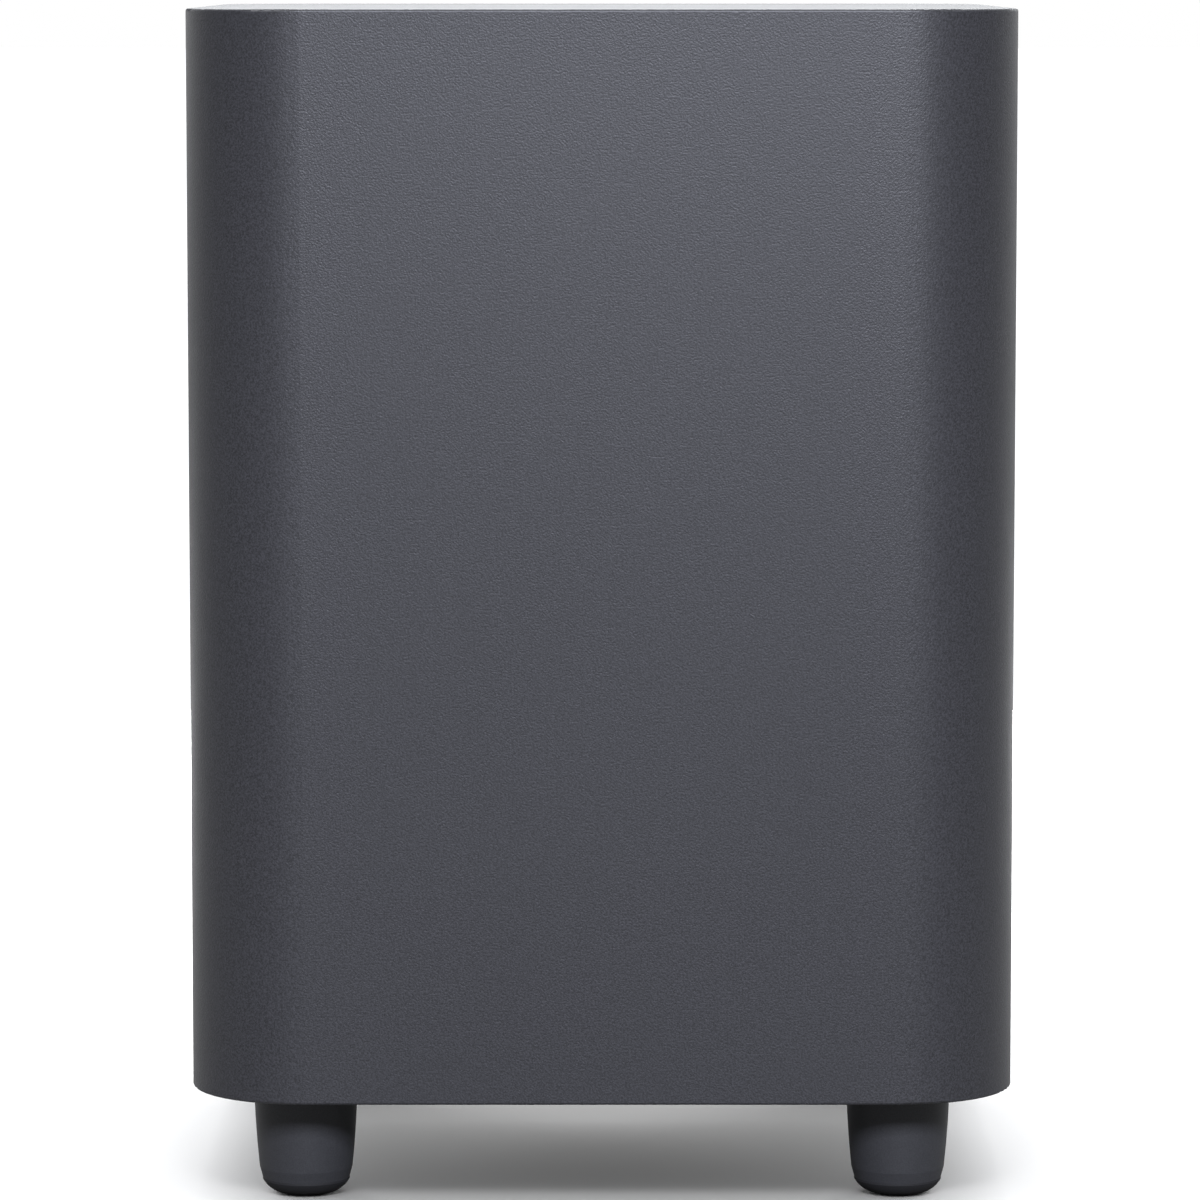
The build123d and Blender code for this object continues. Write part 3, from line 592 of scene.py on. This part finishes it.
# Tinsel leads: two limp copper braids from the terminal strip to the back of the cone. They bend
# along their length as the cone moves, fixed at the strip and carried by the cone at the other end.
braid_lines = texture_group("braid_lines", "ShaderNodeTexWave",
                            {"wave_type": "BANDS", "bands_direction": "DIAGONAL"}, pitch=wave_pitch)
copper_braid = surface("copper_braid", (0.34, 0.16, 0.08), (0.74, 0.46, 0.26),
                       roughness=(0.34, 0.46), grain=0.0006, depth=0.00012, metallic=1.0, pattern=braid_lines)
phenolic = surface("phenolic_board", (0.10, 0.045, 0.02), (0.17, 0.08, 0.04),
                   roughness=(0.40, 0.55), grain=0.001, depth=0.00002)
coat(phenolic, "terminal_strip")
mm = 0.001
braid_radius = 0.8 * mm
braid_route = ((17, 100.9, 75), (17, 93, 75.5), (16, 80, 82.5), (15, 65, 83.5), (14, 54, 77),
               (13.5, 48.5, 71.6))
braids = []
for side, side_name in ((-1, "left"), (1, "right")):
    route = [(side * x * mm, y * mm, z * mm) for x, y, z in braid_route]
    curve = bpy.data.curves.new("braid_" + side_name, "CURVE")
    curve.dimensions = "3D"
    curve.bevel_depth = braid_radius
    curve.bevel_resolution = 3
    curve.resolution_u = 12
    curve.use_fill_caps = True
    line = curve.splines.new("NURBS")
    line.points.add(len(route) - 1)
    for point, where in zip(line.points, route):
        point.co = (*where, 1)
    line.order_u = 3
    line.use_endpoint_u = True
    braid = bpy.data.objects.new("tinsel_braid_" + side_name, curve)
    scene.collection.objects.link(braid)
    active(braid)
    bpy.ops.object.convert(target="MESH")
    braid = bpy.context.object
    bpy.ops.object.shade_smooth()
    braid.data.materials.clear()
    braid.data.materials.append(copper_braid)
    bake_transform(braid, "root", "cone_assembly", start=route[0], end=route[-1])
    braids.append(braid)
for braid in braids:
    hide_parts("tinsel_leads")

# Amplifier panel: a pressed aluminium plate in black powder coat, flush in the rear wall, with a
# two-pole mains inlet, a pairing button and a small status lamp.
inlet_nylon = surface("inlet_nylon", (0.008, 0.008, 0.009), (0.012, 0.012, 0.013),
                      roughness=(0.34, 0.44), grain=0.0006, depth=0.00001)
nickel = surface("nickel_plate", (0.62, 0.59, 0.53), (0.72, 0.69, 0.63),
                 roughness=(0.14, 0.24), grain=0.0012, depth=0.000003, patch=0.003, metallic=1.0)
button_plastic = surface("button_plastic", (0.020, 0.020, 0.022), (0.028, 0.028, 0.031),
                         roughness=(0.40, 0.50), grain=0.0004, depth=0.00001)
milkiness = 0.92
coat(powder_coat, "amp_plate")
coat(inlet_nylon, "mains_inlet", "tact_switch")
coat(nickel, "inlet_pins")
coat(button_plastic, "pair_button", "switch_plunger")


def clear_resin(name, colour, roughness, transmission):
    """Clear moulding with a slight milkiness that drifts in soft patches."""
    milky = [channel * milkiness for channel in colour]
    finish = surface(name, milky, colour, roughness, grain=0.002, depth=0.000002, patch=0.01)
    finish.node_tree.nodes["Principled BSDF"].inputs["Transmission Weight"].default_value = transmission
    return finish


acrylic = clear_resin("light_pipe_acrylic", (0.80, 0.85, 0.88), roughness=(0.10, 0.18), transmission=0.7)
epoxy = clear_resin("lamp_epoxy", (0.78, 0.82, 0.84), roughness=(0.08, 0.14), transmission=0.8)
coat(acrylic, "light_pipe")
coat(epoxy, "status_led")

# Boards: green glass-epoxy boards with etched tracks, on brass-coloured hexagonal spacers behind
# the panel. They carry the supply, the class D stage and the radio module.
board_tracks = texture_group("board_tracks", "ShaderNodeTexBrick",
                             {"Mortar Size": 0.08, "Brick Width": 0.9, "Row Height": 0.35},
                             turn=(pi / 2, 0, 0))
solder_mask = surface("solder_mask", (0.010, 0.085, 0.035), (0.020, 0.16, 0.07),
                      roughness=(0.22, 0.32), grain=0.006, depth=0.00003,
                      pattern=board_tracks, band=(0.2, 0.8))
brass = surface("spacer_brass", (0.60, 0.43, 0.17), (0.72, 0.54, 0.25),
                roughness=(0.26, 0.36), grain=0.001, depth=0.000005, metallic=1.0)
coat(solder_mask, "control_board", "power_board", "amp_board")
coat(brass, "board_standoffs")
coat(zinc_plate, "board_screws")

# Wound parts, capacitors, fuse and radio: each is one node in two materials, such as a core and
# its winding, so its finish changes at two planes across it.
slab, slab_in, slab_out = shader_group("between_planes", ("Place", "Low", "High"),
                                       (("Mask", "NodeSocketFloat"),))
above = arithmetic(slab, "GREATER_THAN", slab_in.outputs["Place"], slab_in.outputs["Low"])
below = arithmetic(slab, "LESS_THAN", slab_in.outputs["Place"], slab_in.outputs["High"])
slab.links.new(arithmetic(slab, "MULTIPLY", above, below), slab_out.inputs["Mask"])
speck_shade = 0.82
mix_first, mix_second, mix_result = 6, 7, 2


def two_finish(name, axis, planes, within, beyond, grain=0.0008, pattern=film_grain):
    """One finish between two planes and another beyond them, each given as (colour, roughness, metal)."""
    finish = bpy.data.materials.new(name)
    finish.use_nodes = True
    tree = finish.node_tree
    shader = tree.nodes["Principled BSDF"]
    fine = place_group(tree, pattern, grain_size=grain, depth=0.00003)
    between = place_group(tree, slab, low=planes[0], high=planes[1])
    place = tree.nodes.new("ShaderNodeTexCoord")
    axes = tree.nodes.new("ShaderNodeSeparateXYZ")
    tree.links.new(place.outputs["Object"], axes.inputs["Vector"])
    tree.links.new(axes.outputs[axis], between.inputs["Place"])
    tint = tree.nodes.new("ShaderNodeMix")
    tint.data_type = "RGBA"
    tint.inputs[mix_first].default_value = (*beyond[0], 1)
    tint.inputs[mix_second].default_value = (*within[0], 1)
    tree.links.new(between.outputs["Mask"], tint.inputs["Factor"])
    shade = tree.nodes.new("ShaderNodeMapRange")
    shade.inputs["To Min"].default_value = speck_shade
    tree.links.new(fine.outputs["Fleck"], shade.inputs["Value"])
    speck = tree.nodes.new("ShaderNodeVectorMath")
    speck.operation = "SCALE"
    tree.links.new(tint.outputs[mix_result], speck.inputs["Vector"])
    tree.links.new(shade.outputs["Result"], speck.inputs["Scale"])
    tree.links.new(speck.outputs["Vector"], shader.inputs["Base Color"])
    for socket, index in (("Roughness", 1), ("Metallic", 2)):
        level = tree.nodes.new("ShaderNodeMapRange")
        level.inputs["To Min"].default_value = beyond[index]
        level.inputs["To Max"].default_value = within[index]
        tree.links.new(between.outputs["Mask"], level.inputs["Value"])
        tree.links.new(level.outputs["Result"], shader.inputs[socket])
    tree.links.new(fine.outputs["Normal"], shader.inputs["Normal"])
    return finish


board_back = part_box("power_board")[0].y
board_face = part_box("power_board")[1].y
core_planes = (board_back - 0.0202, board_back - 0.0078)
choke_planes = (board_back - 0.012, board_back - 0.0026)
fuse_planes = (-0.0215, -0.0105)
inductor_planes = (board_back - 0.013, board_back - 0.003)
sleeve_planes = (board_back - 0.0315, board_back)
shield_planes = (board_face + 0.0012, board_face + 0.01)
ferrite_core = ((0.045, 0.044, 0.045), 0.5, 0.0)
yellow_tape = ((0.62, 0.42, 0.05), 0.36, 0.0)
copper_turns = ((0.55, 0.22, 0.09), 0.3, 1.0)
black_bobbin = ((0.02, 0.02, 0.02), 0.5, 0.0)
white_ceramic = ((0.78, 0.76, 0.70), 0.35, 0.0)
black_sleeve = ((0.012, 0.012, 0.02), 0.22, 0.0)
green_board = ((0.012, 0.10, 0.045), 0.3, 0.0)
tin_can = ((0.62, 0.62, 0.61), 0.3, 1.0)
coat(two_finish("transformer_parts", "Y", core_planes, ferrite_core, yellow_tape), "transformer")
coat(two_finish("choke_parts", "Y", choke_planes, copper_turns, black_bobbin), "mains_choke")
coat(two_finish("fuse_parts", "X", fuse_planes, white_ceramic, tin_can), "fuse")
coat(two_finish("inductor_parts", "Y", inductor_planes, copper_turns, ferrite_core,
                grain=0.0006, pattern=wire_lines), "output_inductors")
coat(two_finish("capacitor_parts", "Y", sleeve_planes, black_sleeve, tin_can), "bulk_capacitors")
coat(two_finish("radio_parts", "Y", shield_planes, tin_can, green_board), "wireless_module")

# Heatsink: a finned aluminium extrusion over the output stage, left bare, with the fine lines that
# the die leaves along it.
extruded_aluminium = surface("extruded_aluminium", (0.56, 0.57, 0.58), (0.70, 0.71, 0.72),
                             roughness=(0.30, 0.44), grain=0.0007, depth=0.00002, metallic=1.0,
                             pattern=wire_lines)
coat(extruded_aluminium, "amp_heatsink")

# Wiring inside: soft PVC leads from the amplifier to the driver's terminals, and a thin lead from
# the control board to the amplifier board.
lead_pvc = surface("lead_pvc", (0.20, 0.012, 0.012), (0.30, 0.02, 0.02),
                   roughness=(0.34, 0.46), grain=0.002, depth=0.00001)
control_pvc = surface("control_pvc", (0.28, 0.28, 0.29), (0.40, 0.40, 0.41),
                      roughness=(0.36, 0.48), grain=0.002, depth=0.00001)
coat(lead_pvc, "speaker_leads")
coat(control_pvc, "control_lead")
